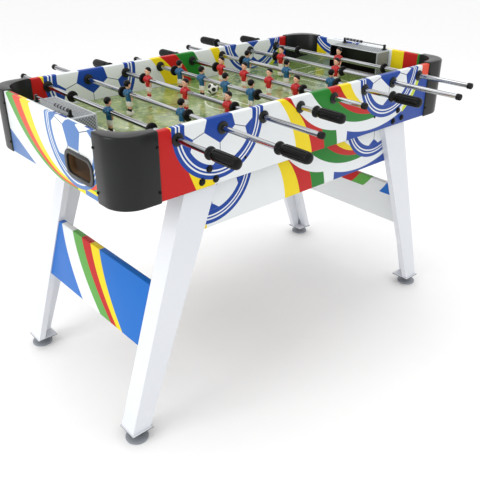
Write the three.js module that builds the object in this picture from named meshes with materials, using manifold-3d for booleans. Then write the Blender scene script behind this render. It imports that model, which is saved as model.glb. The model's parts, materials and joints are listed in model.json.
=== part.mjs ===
// Table football (foosball) table: printed cabinet on four splayed legs, eight turning
// and sliding rods with 22 players, goals, ball returns and screw-in feet.
// Millimetres, +Z up. Origin on the floor under the middle of the cabinet, +X along it.
import * as THREE from 'three';
import { mergeVertices } from 'three/addons/utils/BufferGeometryUtils.js';
import Module from 'manifold-3d';

const wasm = await Module();
wasm.setup();

// ---- driving dimensions -------------------------------------------------------------
const GAP = 0.3;                 // clearance kept between touching pieces
const CABINET_L = 1168;          // outer length, end panel to end panel
const CABINET_W = 610;           // outer width, side panel to side panel
const PANEL_T = 16;              // board thickness of the cabinet
const PANEL_TOP = 801;
const PANEL_BOTTOM = 644;
const PANEL_EDGE_R = 3;          // rounding of the panels' top edges
const FIELD_TOP = 713;           // playing surface
const FIELD_T = 5;
const FIELD_GROOVE = 3.7;        // how far the board reaches into the side panels
const FIELD_HALF_L = 505;        // the board stops short of the end panels

const CAP_ALONG_SIDE = 103;      // corner cap: length along the side panel
const CAP_ALONG_END = 90;        // and along the end panel
const CAP_R = 62;                // its large outer radius
const CAP_PROUD = 3;             // how far it stands out from the panels
const CAP_INNER = 20;            // depth of its tongues from the cabinet's outer face
const CAP_TOP = 804;
const CAP_BOTTOM = 641;
const CAP_SOFT = 4;              // rounding of its edges
const CAP_WALL = 4;

const ROD_Z = 774;
const ROD_R = 6.35;
const ROD_WALL = 1.2;
const ROD_PITCH = 123.9;
const BORE_R = 6.75;             // running bore of everything that sits on a rod
const BEARING_R = 7.0;
const BEARING_FLANGE_R = 15;
const BEARING_FLANGE_T = 4;
const BUMPER_R = 14.5;
const BUMPER_T = 8;
const HANDLE_L = 90;
const HANDLE_BORE = 50;          // how deep the rod sits in the handle
const END_CAP_L = 12;
const END_CAP_R = 8.3;
const COLLAR_R = 14.5;
const NECK_R = 10;
const GRIP_R = 13;

const LEG_TOP = 705;
const LEG_BOTTOM = 30;
const LEG_REF_Z = 634;           // height at which the two edges below are stated
const LEG_OUTER_X = 412;
const LEG_INNER_X = 318;
const LEG_OUTER_SLOPE = 0.316;
const LEG_INNER_SLOPE = 0.384;
const LEG_BOARD_T = 18;
const LEG_END_BOARD_IN = 235;    // inner edge of the sloped end board, across the table
const STRETCHER_BOTTOM = 245;
const STRETCHER_TOP = 400;
const STRETCHER_T = 17;
const STRETCHER_INSET = 3;
const RAIL_BOTTOM = 520;
const RAIL_TOP = 672;
const RAIL_T = 15;
const RAIL_HALF_L = 370;
const BRACE_X = 242;
const BRACE_T = 16;

const GOAL_HALF_W = 98;
const GOAL_DEPTH_FACE = 503.3;   // the goal's open face, from the middle of the table
const GOAL_TOP = 798;
const GOAL_WALL = 3;
const RAMP_RISE = 25;            // corner ramps climb this much to the end panel
const RAMP_T = 3;

const RETURN_Y0 = -207;          // outer outline of the ball return's bezel, left end
const RETURN_Y1 = -83;
const RETURN_Z0 = 670;
const RETURN_Z1 = 737;
const RETURN_R = 26;             // its corner radius
const BEZEL_LIP = 6;             // bezel overlap on the panel
const BEZEL_PROUD = 3;
const TUNNEL_WALL = 4;
const TRAY_Y1 = 98;              // far end of the tray under the goal
const TRAY_FACE = 507;
const TRAY_WALL = 3;
const TRAY_TOP = 707.2;

const BOLT_R = 3;
const BOLT_HEAD_R = 6.5;
const BOLT_SIDES = 6;
const PLATE_IN = 36;             // foot plate, from the stem towards the table's middle
const PLATE_OUT = 26;            // and outwards
const PLATE_T = 1.8;

const SCORER_HALF = 83;          // half the distance between the two scorer posts
const SCORER_X = 560;            // they stand on the goal, next to the end panel
const SCORER_Z = 811;
const SCORER_WIRE_R = 1.6;
const BEADS = 10;
const BEAD_R = 4.4;
const BEAD_L = 7;

const FOOT_X = 580;
const FOOT_Y = 269;
const FOOT_R = 30;
const STEM_R = 4;
const STEM_TOP = 56;

const BALL_R = 17;
const BALL_Y = 110;

// One entry per rod from the left: players, side of the handle, rest position across
// the table, where the handle starts and where the bare end stops (from the rod's middle).
const FRONT = -1;
const BACK = 1;
const KEEPER = { men: 1, pitch: 0, handle: 382, bare: 476, bumper: 180 };
const DEFENCE = { men: 2, pitch: 234, handle: 443, bare: 538, bumper: 142 };
const ATTACK = { men: 3, pitch: 175, handle: 381, bare: 488, bumper: 198 };
const MIDFIELD = { men: 4, pitch: 105, handle: 385, bare: 397, bumper: 183 };
const RODS = [
  { ...KEEPER, side: FRONT, rest: -29 },
  { ...DEFENCE, side: FRONT, rest: -37 },
  { ...ATTACK, side: BACK, rest: -4 },
  { ...MIDFIELD, side: FRONT, rest: 31 },
  { ...MIDFIELD, side: BACK, rest: -13 },
  { ...ATTACK, side: FRONT, rest: -11 },
  { ...DEFENCE, side: BACK, rest: 20 },
  { ...KEEPER, side: BACK, rest: 0 },
];

const HALF_L = CABINET_L / 2;
const HALF_W = CABINET_W / 2;
const END_INNER = HALF_L - PANEL_T;
const SIDE_INNER = HALF_W - PANEL_T;
const PANEL_END_X = HALF_L - CAP_R;   // side panels stop where the caps' corner begins
const PANEL_END_Y = HALF_W - CAP_R;
const LEG_BOLTS = [[350, 687], [372, 661], [332, 658]];
const SIGNS = [-1, 1];
const CORNERS = [[-1, -1], [1, -1], [-1, 1], [1, 1]];

// ---- materials -----------------------------------------------------------------------
function finish(color, roughness, metalness = 0) {
  return new THREE.MeshStandardMaterial({ color, roughness, metalness });
}

const PRINTED = finish(0x2456a8, 0.4);
const WHITE_BOARD = finish(0xe6e8ec, 0.45);
const FIELD_PRINT = finish(0x6f9a58, 0.35);
const BLACK_PLASTIC = finish(0x1d1f21, 0.45);
const RUBBER = finish(0x141414, 0.75);
const CHROME = finish(0xc8ccd0, 0.15, 1);
const GOAL_PLASTIC = finish(0x8f9294, 0.4);
const GREY_PLASTIC = finish(0x8c9096, 0.5);
const WHITE_PLASTIC = finish(0xf0f0f0, 0.35);

// ---- solids --------------------------------------------------------------------------
function signedVolume(geometry) {
  const p = geometry.attributes.position;
  const index = geometry.index.array;
  const [a, b, c] = [new THREE.Vector3(), new THREE.Vector3(), new THREE.Vector3()];
  let sum = 0;
  for (let i = 0; i < index.length; i += 3) {
    a.fromBufferAttribute(p, index[i]);
    b.fromBufferAttribute(p, index[i + 1]);
    c.fromBufferAttribute(p, index[i + 2]);
    sum += a.dot(b.cross(c));
  }
  return sum / 6;
}

// Merges shared corners and turns the faces outwards.
function closed(source) {
  const bare = source.clone();
  bare.deleteAttribute('normal');
  bare.deleteAttribute('uv');
  const geometry = mergeVertices(bare, 1e-4);
  if (signedVolume(geometry) < 0) {
    const index = geometry.index.array;
    for (let i = 0; i < index.length; i += 3) {
      [index[i + 1], index[i + 2]] = [index[i + 2], index[i + 1]];
    }
  }
  return geometry;
}

function solid(geometry) {
  const whole = closed(geometry);
  const mesh = new wasm.Mesh({
    numProp: 3,
    vertProperties: new Float32Array(whole.attributes.position.array),
    triVerts: new Uint32Array(whole.index.array),
  });
  mesh.merge();
  return new wasm.Manifold(mesh);
}

function geometryOf(body) {
  const mesh = body.getMesh();
  const geometry = new THREE.BufferGeometry();
  geometry.setAttribute('position', new THREE.BufferAttribute(mesh.vertProperties, 3));
  geometry.setIndex(new THREE.BufferAttribute(mesh.triVerts, 1));
  return geometry;
}

function joined(bodies) {
  return bodies.reduce((all, body) => all.add(body));
}

function cut(body, tools) {
  return tools.reduce((left, tool) => left.subtract(tool), body);
}

function shapeOf(points) {
  return new THREE.Shape(points.map(([x, y]) => new THREE.Vector2(x, y)));
}

const AXES = {
  x: [new THREE.Vector3(0, 1, 0), new THREE.Vector3(0, 0, 1), new THREE.Vector3(1, 0, 0)],
  y: [new THREE.Vector3(1, 0, 0), new THREE.Vector3(0, 0, 1), new THREE.Vector3(0, -1, 0)],
  z: [new THREE.Vector3(1, 0, 0), new THREE.Vector3(0, 1, 0), new THREE.Vector3(0, 0, 1)],
};

// A prism with its outline across the named axis, between two places on that axis.
// Outline points are (y, z) along x, (x, z) along y and (x, y) along z.
function prism(axis, outline, from, to, soft = 0) {
  const [low, high] = [Math.min(from, to), Math.max(from, to)];
  const shape = outline instanceof THREE.Shape ? outline : shapeOf(outline);
  const geometry = new THREE.ExtrudeGeometry(shape, {
    depth: high - low - 2 * soft,
    curveSegments: 4,
    bevelEnabled: soft > 0,
    bevelThickness: soft,
    bevelSize: soft,
    bevelOffset: -soft,
    bevelSegments: 1,
  });
  geometry.translate(0, 0, soft);
  const turn = new THREE.Matrix4().makeBasis(...AXES[axis]);
  geometry.applyMatrix4(turn);
  const shift = { x: [low, 0, 0], y: [0, high, 0], z: [0, 0, low] }[axis];
  geometry.translate(...shift);
  return geometry;
}

function box([x0, x1], [y0, y1], [z0, z1]) {
  const geometry = new THREE.BoxGeometry(Math.abs(x1 - x0), Math.abs(y1 - y0), z1 - z0);
  geometry.translate((x0 + x1) / 2, (y0 + y1) / 2, (z0 + z1) / 2);
  return geometry;
}

// A turned piece: (radius, distance) pairs about the Y axis.
function turned(profile, segments = 10) {
  const points = profile.map(([r, t]) => new THREE.Vector2(r, t));
  return new THREE.LatheGeometry(points, segments);
}

// A ring's profile comes back to its start.
function ring(profile, segments) {
  return turned([...profile, profile[0]], segments);
}

// A round bar along Y, between two places on it.
function bar(radius, from, to, segments) {
  return turned([[0, from], [radius, from], [radius, to], [0, to]], segments);
}

function upright(geometry) {
  return geometry.rotateX(Math.PI / 2);
}

function moved(geometry, x, y, z) {
  return geometry.translate(x, y, z);
}

const root = new THREE.Group();

function place(parent, name, geometry, material) {
  const mesh = new THREE.Mesh(closed(geometry), material);
  mesh.name = name;
  parent.add(mesh);
  return mesh;
}

function placeBody(parent, name, body, material) {
  const mesh = new THREE.Mesh(geometryOf(body), material);
  mesh.name = name;
  parent.add(mesh);
  return mesh;
}

// ---- cabinet panels ------------------------------------------------------------------
function roundedTop(inner, outer, top) {
  const r = PANEL_EDGE_R;
  const shape = new THREE.Shape();
  shape.moveTo(inner, PANEL_BOTTOM);
  shape.lineTo(outer, PANEL_BOTTOM);
  shape.lineTo(outer, top - r);
  shape.quadraticCurveTo(outer, top, outer + Math.sign(inner - outer) * r, top);
  shape.lineTo(inner - Math.sign(inner - outer) * r, top);
  shape.quadraticCurveTo(inner, top, inner, top - r);
  return shape;
}

function rodX(index) {
  return (index - (RODS.length - 1) / 2) * ROD_PITCH;
}

// A side panel with its eight rod bearings pressed in: a flange on each face and the bore.
function sidePanel(sy) {
  const board = solid(prism('x', roundedTop(sy * SIDE_INNER, sy * HALF_W, PANEL_TOP),
    -PANEL_END_X, PANEL_END_X));
  const along = (x, z, radius, from, to, segments) => solid(
    moved(bar(radius, sy * from, sy * to, segments), x, 0, z));
  const flanges = RODS.flatMap((_, k) => [
    along(rodX(k), ROD_Z, BEARING_FLANGE_R - 1, SIDE_INNER - BEARING_FLANGE_T, SIDE_INNER + 1),
    along(rodX(k), ROD_Z, BEARING_FLANGE_R, HALF_W - 1, HALF_W + BEARING_FLANGE_T),
  ]);
  const [from, to] = [SIDE_INNER - 20, HALF_W + 20];
  const bores = RODS.map((_, k) => along(rodX(k), ROD_Z, BEARING_R, from, to));
  const bolts = SIGNS.flatMap((sx) => LEG_BOLTS.map(
    ([x, z]) => along(sx * x, z, BOLT_R + 0.4, from, to, BOLT_SIDES)));
  const groove = solid(box([-PANEL_END_X - 1, PANEL_END_X + 1],
    [sy * (SIDE_INNER - 5), sy * (SIDE_INNER + FIELD_GROOVE + GAP)],
    [FIELD_TOP - FIELD_T - GAP, FIELD_TOP + GAP]));
  return cut(joined([board, ...flanges]), [...bores, ...bolts, groove]);
}

function roundedRect(y0, y1, z0, z1, r) {
  const shape = new THREE.Shape();
  shape.moveTo(y0 + r, z0);
  shape.lineTo(y1 - r, z0);
  shape.absarc(y1 - r, z0 + r, r, -Math.PI / 2, 0, false);
  shape.lineTo(y1, z1 - r);
  shape.absarc(y1 - r, z1 - r, r, 0, Math.PI / 2, false);
  shape.lineTo(y0 + r, z1);
  shape.absarc(y0 + r, z1 - r, r, Math.PI / 2, Math.PI, false);
  shape.lineTo(y0, z0 + r);
  shape.absarc(y0 + r, z0 + r, r, Math.PI, 1.5 * Math.PI, false);
  return shape;
}

// The ball return's outline, drawn in by an inset.
function returnOutline(inset) {
  return roundedRect(RETURN_Y0 + inset, RETURN_Y1 - inset, RETURN_Z0 + inset,
    RETURN_Z1 - inset, RETURN_R - inset);
}

// Built for the left end; the right end is the same board turned half round.
function endPanel() {
  const board = solid(prism('y', roundedTop(-END_INNER, -HALF_L, PANEL_TOP),
    -PANEL_END_Y, PANEL_END_Y));
  const opening = solid(prism('x', returnOutline(BEZEL_LIP - 0.4), -HALF_L - 5, -END_INNER + 5));
  return cut(board, [opening]);
}

// ---- corner caps ---------------------------------------------------------------------
// Plan outline of a cap, from the cabinet's corner: u along the side, v along the end.
function capOutline(sx, sy, grow = 0) {
  const at = (u, v) => [sx * (HALF_L - u), sy * (HALF_W - v)];
  const points = [];
  const arc = (cu, cv, ru, rv, from, to, steps) => {
    for (let i = 0; i <= steps; i += 1) {
      const a = from + (to - from) * i / steps;
      points.push(at(cu + ru * Math.cos(a), cv + rv * Math.sin(a)));
    }
  };
  const outer = CAP_R;
  const centre = CAP_R - CAP_PROUD;
  points.push(at(CAP_ALONG_SIDE + grow, -CAP_PROUD));
  arc(centre, centre, outer, outer, 1.5 * Math.PI, Math.PI, 6);
  points.push(at(-CAP_PROUD, CAP_ALONG_END + grow));
  const [ru, rv] = [CAP_ALONG_SIDE - CAP_INNER - grow, CAP_ALONG_END - CAP_INNER - grow];
  points.push(at(CAP_INNER + grow, CAP_ALONG_END + grow));
  arc(CAP_ALONG_SIDE, CAP_ALONG_END, ru, rv, Math.PI, 1.5 * Math.PI, 6);
  points.push(at(CAP_ALONG_SIDE + grow, CAP_INNER + grow));
  return points.filter((p, i) => i === 0
    || Math.hypot(p[0] - points[i - 1][0], p[1] - points[i - 1][1]) > 0.05);
}

// The hollow under a cap, between its walls and the two panel slots.
function capCore(sx, sy) {
  const at = (u, v) => [sx * (HALF_L - u), sy * (HALF_W - v)];
  const centre = CAP_R - CAP_PROUD;
  const outer = CAP_R - CAP_WALL;
  const limit = CAP_R - GAP - CAP_WALL;
  const [ru, rv] = [CAP_ALONG_SIDE - CAP_INNER + CAP_WALL, CAP_ALONG_END - CAP_INNER + CAP_WALL];
  const points = [];
  for (let i = 0; i <= 6; i += 1) {
    const a = 1.5 * Math.PI - (Math.PI / 2) * i / 6;
    points.push(at(centre + outer * Math.cos(a), centre + outer * Math.sin(a)));
  }
  const first = Math.PI + Math.asin((CAP_ALONG_END - limit) / rv);
  const last = Math.PI + Math.acos((CAP_ALONG_SIDE - limit) / ru);
  for (let i = 0; i <= 4; i += 1) {
    const a = first + (last - first) * i / 4;
    points.push(at(CAP_ALONG_SIDE + ru * Math.cos(a), CAP_ALONG_END + rv * Math.sin(a)));
  }
  return points;
}

function cornerCap(sx, sy) {
  const block = solid(prism('z', capOutline(sx, sy), CAP_BOTTOM, CAP_TOP, CAP_SOFT));
  const below = CAP_BOTTOM - 5;
  const core = solid(prism('z', capCore(sx, sy), below, CAP_TOP - 6));
  const roof = PANEL_TOP + GAP;
  const slotSide = solid(box([sx * (HALF_L - CAP_R + GAP), sx * (HALF_L - CAP_ALONG_SIDE - 5)],
    [sy * (HALF_W + GAP), sy * (SIDE_INNER - GAP)], [below, roof]));
  const slotEnd = solid(box([sx * (HALF_L + GAP), sx * (END_INNER - GAP)],
    [sy * (HALF_W - CAP_R + GAP), sy * (HALF_W - CAP_ALONG_END - 5)], [below, roof]));
  return cut(block, [core, slotSide, slotEnd]);
}

// ---- playing surface, ramps, goals and returns ---------------------------------------
function capKeepOut(sx, sy) {
  return solid(prism('z', capOutline(sx, sy, 0.5), CAP_BOTTOM, CAP_TOP));
}

// The playing board, with its corner ramps and the two braces glued under it.
function playfield() {
  const reach = SIDE_INNER + FIELD_GROOVE;
  const board = solid(box([-FIELD_HALF_L, FIELD_HALF_L], [-reach, reach],
    [FIELD_TOP - FIELD_T, FIELD_TOP]));
  const braces = SIGNS.map((sx) => solid(box(
    [sx * (BRACE_X - BRACE_T / 2), sx * (BRACE_X + BRACE_T / 2)],
    [-SIDE_INNER + GAP, SIDE_INNER - GAP], [RAIL_TOP + 2, FIELD_TOP - FIELD_T / 2])));
  const ramps = CORNERS.map(([sx, sy]) => ramp(sx, sy));
  return cut(joined([board, ...braces, ...ramps]),
    CORNERS.map(([sx, sy]) => capKeepOut(sx, sy)));
}

// A sloped board beside the goal that rises to the end panel over the ball return.
function ramp(sx, sy) {
  const near = FIELD_HALF_L - RAMP_T;
  const far = END_INNER - 0.4;
  return solid(prism('y', [
    [sx * near, FIELD_TOP - RAMP_T],
    [sx * far, FIELD_TOP + RAMP_RISE - RAMP_T],
    [sx * far, FIELD_TOP + RAMP_RISE],
    [sx * near, FIELD_TOP],
  ], sy * (GOAL_HALF_W + 0.5), sy * (SIDE_INNER - 0.4)));
}

// Goal box for the left end, with the scorer's two posts and wire on its roof.
function goal() {
  const shell = solid(box([-END_INNER + 0.4, -GOAL_DEPTH_FACE], [-GOAL_HALF_W, GOAL_HALF_W],
    [FIELD_TOP + 0.4, GOAL_TOP]));
  const inside = GOAL_HALF_W - GOAL_WALL - 2;
  const hollow = solid(box([-END_INNER + 0.4 + GOAL_WALL, -GOAL_DEPTH_FACE + 5],
    [-inside, inside], [FIELD_TOP - 5, GOAL_TOP - GOAL_WALL - 4]));
  const posts = SIGNS.flatMap((sy) => [
    solid(box([-SCORER_X - 5, -SCORER_X + 5],
      [sy * SCORER_HALF - 6, sy * SCORER_HALF + 6], [GOAL_TOP - 1, GOAL_TOP + 4])),
    solid(box([-SCORER_X - 3.5, -SCORER_X + 3.5],
      [sy * SCORER_HALF - 3.5, sy * SCORER_HALF + 3.5], [GOAL_TOP - 1, SCORER_Z + 3.5])),
  ]);
  const wire = solid(moved(bar(SCORER_WIRE_R, -SCORER_HALF, SCORER_HALF, 6), -SCORER_X, 0,
    SCORER_Z));
  return cut(joined([shell, ...posts, wire]), [hollow]);
}

// Bezel, tunnel through the end panel and catching tray under the goal, in one moulding.
function ballReturn() {
  const inner = BEZEL_LIP + TUNNEL_WALL;
  const back = END_INNER - 0.4;
  const trayLow = RETURN_Z0 + inner - TRAY_WALL;
  const trayStart = RETURN_Y0 + BEZEL_LIP;
  const flange = solid(prism('x', returnOutline(0), -HALF_L - BEZEL_PROUD, -HALF_L - GAP));
  const tunnel = solid(prism('x', returnOutline(BEZEL_LIP), -HALF_L - 2, -END_INNER + 2));
  const tray = solid(box([-back, -TRAY_FACE], [trayStart, TRAY_Y1], [trayLow, TRAY_TOP]));
  const bore = solid(prism('x', returnOutline(inner), -HALF_L - 10, -END_INNER + 12));
  const cavity = solid(box([-back - 20, -TRAY_FACE - TRAY_WALL],
    [RETURN_Y0 + inner, TRAY_Y1 - TRAY_WALL], [RETURN_Z0 + inner, TRAY_TOP + 5]));
  const rear = solid(box([-back, -back + TRAY_WALL],
    [RETURN_Y1 - BEZEL_LIP, TRAY_Y1], [trayLow, TRAY_TOP]));
  const channel = cut(tray, [cavity]).add(rear);
  const aboveTray = solid(box([-END_INNER - 0.2, -END_INNER + 5], [RETURN_Y0, TRAY_Y1],
    [TRAY_TOP, RETURN_Z1]));
  return cut(joined([flange, cut(tunnel, [aboveTray]), channel]), [bore]);
}

// ---- legs, stretchers and rails ------------------------------------------------------
function legOuter(z) {
  return LEG_OUTER_X + (LEG_REF_Z - z) * LEG_OUTER_SLOPE;
}

function legInner(z) {
  return LEG_INNER_X + (LEG_REF_Z - z) * LEG_INNER_SLOPE;
}

const SLOPED_T = LEG_BOARD_T * Math.hypot(1, LEG_OUTER_SLOPE);

function slopedBoard(sx, near, far, bottom, top) {
  return [
    [sx * (legOuter(bottom) - far), bottom], [sx * (legOuter(bottom) - near), bottom],
    [sx * (legOuter(top) - near), top], [sx * (legOuter(top) - far), top],
  ];
}

// A bolt from outside the side panel into the leg; Y runs out of the panel.
function legBolt() {
  const face = HALF_W + GAP;
  const inside = SIDE_INNER - GAP - 2;
  return turned([[0, inside], [BOLT_R, inside], [BOLT_R, face], [BOLT_HEAD_R, face],
    [BOLT_HEAD_R * 0.7, face + 3.6], [0, face + 3.6]], BOLT_SIDES);
}

// A leg: side board, sloped end board, steel foot plate and its three bolts.
function leg(sx, sy) {
  const face = SIDE_INNER - GAP;
  const side = solid(prism('y', [
    [sx * legInner(LEG_BOTTOM), LEG_BOTTOM], [sx * legOuter(LEG_BOTTOM), LEG_BOTTOM],
    [sx * legOuter(LEG_TOP), LEG_TOP], [sx * legInner(LEG_TOP), LEG_TOP],
  ], sy * (face - LEG_BOARD_T), sy * face));
  const end = solid(prism('y', slopedBoard(sx, 0, SLOPED_T, LEG_BOTTOM, LEG_TOP),
    sy * LEG_END_BOARD_IN, sy * (face - 1)));
  const plate = solid(box([sx * (FOOT_X - PLATE_IN), sx * (FOOT_X + PLATE_OUT)],
    [sy * (FOOT_Y - PLATE_IN), sy * (FOOT_Y + PLATE_OUT)],
    [LEG_BOTTOM - PLATE_T, LEG_BOTTOM + 0.5]));
  const bolts = LEG_BOLTS.map(([x, z]) => solid(
    moved(sy < 0 ? legBolt().rotateZ(Math.PI) : legBolt(), sx * x, 0, z)));
  const stem = solid(moved(upright(bar(STEM_R + 1.2, 14, 64)), sx * FOOT_X, sy * FOOT_Y, 0));
  return joined([cut(joined([side, end, plate]), [stem]), ...bolts]);
}

function endStretcher(sx) {
  const thick = STRETCHER_T * Math.hypot(1, LEG_OUTER_SLOPE);
  const reach = LEG_END_BOARD_IN - GAP;
  return prism('y', slopedBoard(sx, STRETCHER_INSET, STRETCHER_INSET + thick,
    STRETCHER_BOTTOM, STRETCHER_TOP), -reach, reach);
}

function lowerRail(sy) {
  const face = SIDE_INNER - 2 * GAP - LEG_BOARD_T;
  return box([-RAIL_HALF_L, RAIL_HALF_L], [sy * (face - RAIL_T), sy * face],
    [RAIL_BOTTOM, RAIL_TOP]);
}

// ---- scorer beads --------------------------------------------------------------------
// Ten beads pushed together against one post, as one piece.
function beads(sx) {
  const far = SCORER_HALF - 4.5;
  const near = far - BEADS * BEAD_L;
  const bore = SCORER_WIRE_R + 0.4;
  const stack = ring([[bore, sx * near], [BEAD_R, sx * near], [BEAD_R, sx * far],
    [bore, sx * far]], 8);
  return moved(stack, sx * SCORER_X, 0, SCORER_Z);
}

// ---- rods and players ----------------------------------------------------------------
// A player on the rod's axis, looking along +X; heights are from the rod's axis.
const MAN_FOOT = -57;
const MAN_HEAD_Z = 23.5;
const MAN_HEAD_R = 10.5;
const MAN_HUB_R = 10.5;
const MAN_HUB_HALF = 12.5;

function manBody() {
  const half = [[6.5, MAN_FOOT], [6, -38], [9, -20], [12.5, 2], [11, 11], [4, 13.5], [4, 20]];
  const outline = [...half, ...half.toReversed().map(([y, z]) => [-y, z])];
  const figure = solid(prism('x', outline, -6, 6));
  const head = solid(moved(new THREE.SphereGeometry(MAN_HEAD_R, 8, 5), 0, 0, MAN_HEAD_Z));
  const shoe = solid(box([-7, 9], [-7.5, 7.5], [MAN_FOOT, MAN_FOOT + 11]));
  const hub = solid(bar(MAN_HUB_R, -MAN_HUB_HALF, MAN_HUB_HALF));
  return joined([figure, head, shoe, hub]);
}

const MAN = manBody();

// The steel tube with its players pinned on and the rubber cap on its bare end.
function rodWithPlayers(rod) {
  const along = (t) => -rod.side * t;
  const open = along(-rod.handle - HANDLE_BORE + GAP);
  const tube = solid(bar(ROD_R, along(rod.bare - 2), open));
  const cap = solid(bar(END_CAP_R, along(rod.bare), along(rod.bare - END_CAP_L)));
  const first = -(rod.men - 1) / 2;
  const man = MAN.rotate([0, 0, rod.side === FRONT ? 0 : 180]);
  const men = Array.from({ length: rod.men },
    (_, k) => man.translate([0, (first + k) * rod.pitch, 0]));
  const hollow = solid(bar(ROD_R - ROD_WALL, along(rod.bare - 3), open + rod.side));
  return cut(joined([tube, cap, ...men]), [hollow]);
}

function handle(rod) {
  const along = (t) => rod.side * (rod.handle + t);
  return turned([
    [0, along(HANDLE_BORE)], [BORE_R, along(HANDLE_BORE)], [BORE_R, along(0)],
    [COLLAR_R, along(0)], [COLLAR_R, along(8)], [NECK_R, along(11)], [NECK_R, along(15)],
    [GRIP_R, along(19)], [GRIP_R, along(83)], [NECK_R, along(HANDLE_L)], [0, along(HANDLE_L)],
  ]);
}

function bumper(rod, sy) {
  const [inner, outer] = [rod.bumper - BUMPER_T / 2, rod.bumper + BUMPER_T / 2];
  return ring([[BORE_R, sy * inner], [BUMPER_R, sy * inner],
    [BUMPER_R, sy * outer], [BORE_R, sy * outer]]);
}

// ---- feet ----------------------------------------------------------------------------
function leveler() {
  return upright(turned([[0, 0], [FOOT_R, 0], [FOOT_R, 5], [9, 10], [9, 14], [STEM_R, 14],
    [STEM_R, STEM_TOP], [0, STEM_TOP]]));
}

// ---- the whole table -----------------------------------------------------------------
const halfTurn = (body) => body.rotate([0, 0, 180]);
const endName = (sx) => (sx < 0 ? 'left' : 'right');
const sideName = (sy) => (sy < 0 ? 'front' : 'back');

placeBody(root, 'front_panel', sidePanel(-1), PRINTED);
placeBody(root, 'back_panel', sidePanel(1), PRINTED);
placeBody(root, 'left_end_panel', endPanel(), PRINTED);
placeBody(root, 'right_end_panel', halfTurn(endPanel()), PRINTED);
placeBody(root, 'playfield', playfield(), FIELD_PRINT);
placeBody(root, 'goal_left', goal(), GOAL_PLASTIC);
placeBody(root, 'goal_right', halfTurn(goal()), GOAL_PLASTIC);
placeBody(root, 'ball_return_left', ballReturn(), BLACK_PLASTIC);
placeBody(root, 'ball_return_right', halfTurn(ballReturn()), BLACK_PLASTIC);

for (const sx of SIGNS) {
  place(root, `end_stretcher_${endName(sx)}`, endStretcher(sx), PRINTED);
  place(root, `score_beads_${endName(sx)}`, beads(sx), BLACK_PLASTIC);
}

for (const sy of SIGNS) {
  place(root, `lower_rail_${sideName(sy)}`, lowerRail(sy), PRINTED);
}

for (const [sx, sy] of CORNERS) {
  const corner = `${sideName(sy)}_${endName(sx)}`;
  placeBody(root, `corner_cap_${corner}`, cornerCap(sx, sy), BLACK_PLASTIC);
  placeBody(root, `leg_${corner}`, leg(sx, sy), WHITE_BOARD);
  const foot = place(root, `foot_${corner}`, leveler(), GREY_PLASTIC);
  foot.position.set(sx * FOOT_X, sy * FOOT_Y, 0);
}

RODS.forEach((rod, k) => {
  const assembly = new THREE.Group();
  assembly.position.set(rodX(k), rod.rest, ROD_Z);
  const name = `rod_${k + 1}`;
  placeBody(assembly, `${name}_players`, rodWithPlayers(rod), CHROME);
  place(assembly, `${name}_handle`, handle(rod), BLACK_PLASTIC);
  for (const sy of SIGNS) {
    place(assembly, `${name}_bumper_${sideName(sy)}`, bumper(rod, sy), RUBBER);
  }
  root.add(assembly);
});

const ball = place(root, 'ball', new THREE.SphereGeometry(BALL_R, 12, 8), WHITE_PLASTIC);
ball.position.set(0, BALL_Y, FIELD_TOP + BALL_R + GAP);

root.updateMatrixWorld(true);

export default root;
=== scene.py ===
"""Table football table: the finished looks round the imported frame, laid out as an add-on."""

import json
import math

import bpy
from mathutils import Matrix, Vector


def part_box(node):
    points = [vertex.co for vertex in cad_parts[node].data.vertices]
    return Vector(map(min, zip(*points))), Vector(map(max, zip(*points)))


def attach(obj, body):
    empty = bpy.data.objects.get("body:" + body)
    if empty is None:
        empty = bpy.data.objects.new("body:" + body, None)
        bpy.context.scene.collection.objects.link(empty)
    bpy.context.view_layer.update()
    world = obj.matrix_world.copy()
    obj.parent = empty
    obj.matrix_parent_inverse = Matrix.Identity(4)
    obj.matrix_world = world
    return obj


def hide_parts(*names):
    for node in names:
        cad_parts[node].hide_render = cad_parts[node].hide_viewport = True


bl_info = {
    "name": "Football table looks",
    "version": (1, 0, 0),
    "blender": (4, 5, 0),
    "location": "View3D > Sidebar > Football table",
    "description": "Printed boards, players, rods, goals and fittings of a table football table",
    "category": "Object",
}

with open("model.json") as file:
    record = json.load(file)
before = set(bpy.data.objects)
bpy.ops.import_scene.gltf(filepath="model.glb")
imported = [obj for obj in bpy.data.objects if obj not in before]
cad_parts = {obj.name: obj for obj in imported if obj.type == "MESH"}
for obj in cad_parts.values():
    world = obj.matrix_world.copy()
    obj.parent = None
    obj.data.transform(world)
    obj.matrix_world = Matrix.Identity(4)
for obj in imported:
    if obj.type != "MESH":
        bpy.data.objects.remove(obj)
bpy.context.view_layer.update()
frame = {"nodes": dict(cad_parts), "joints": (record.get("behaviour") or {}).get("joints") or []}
MM = 0.001
SIGNS = (-1, 1)
ENDS = {-1: "left", 1: "right"}
SIDES = {-1: "front", 1: "back"}


def corner_name(sx, sy):
    return f"{SIDES[sy]}_{ENDS[sx]}"


def joint_place(name):
    """Where a joint of the frame sits."""
    return Vector(next(j["pos_m"] for j in frame["joints"] if j["name"] == name))


def middle(node):
    low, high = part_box(node)
    return (low + high) / 2


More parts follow.
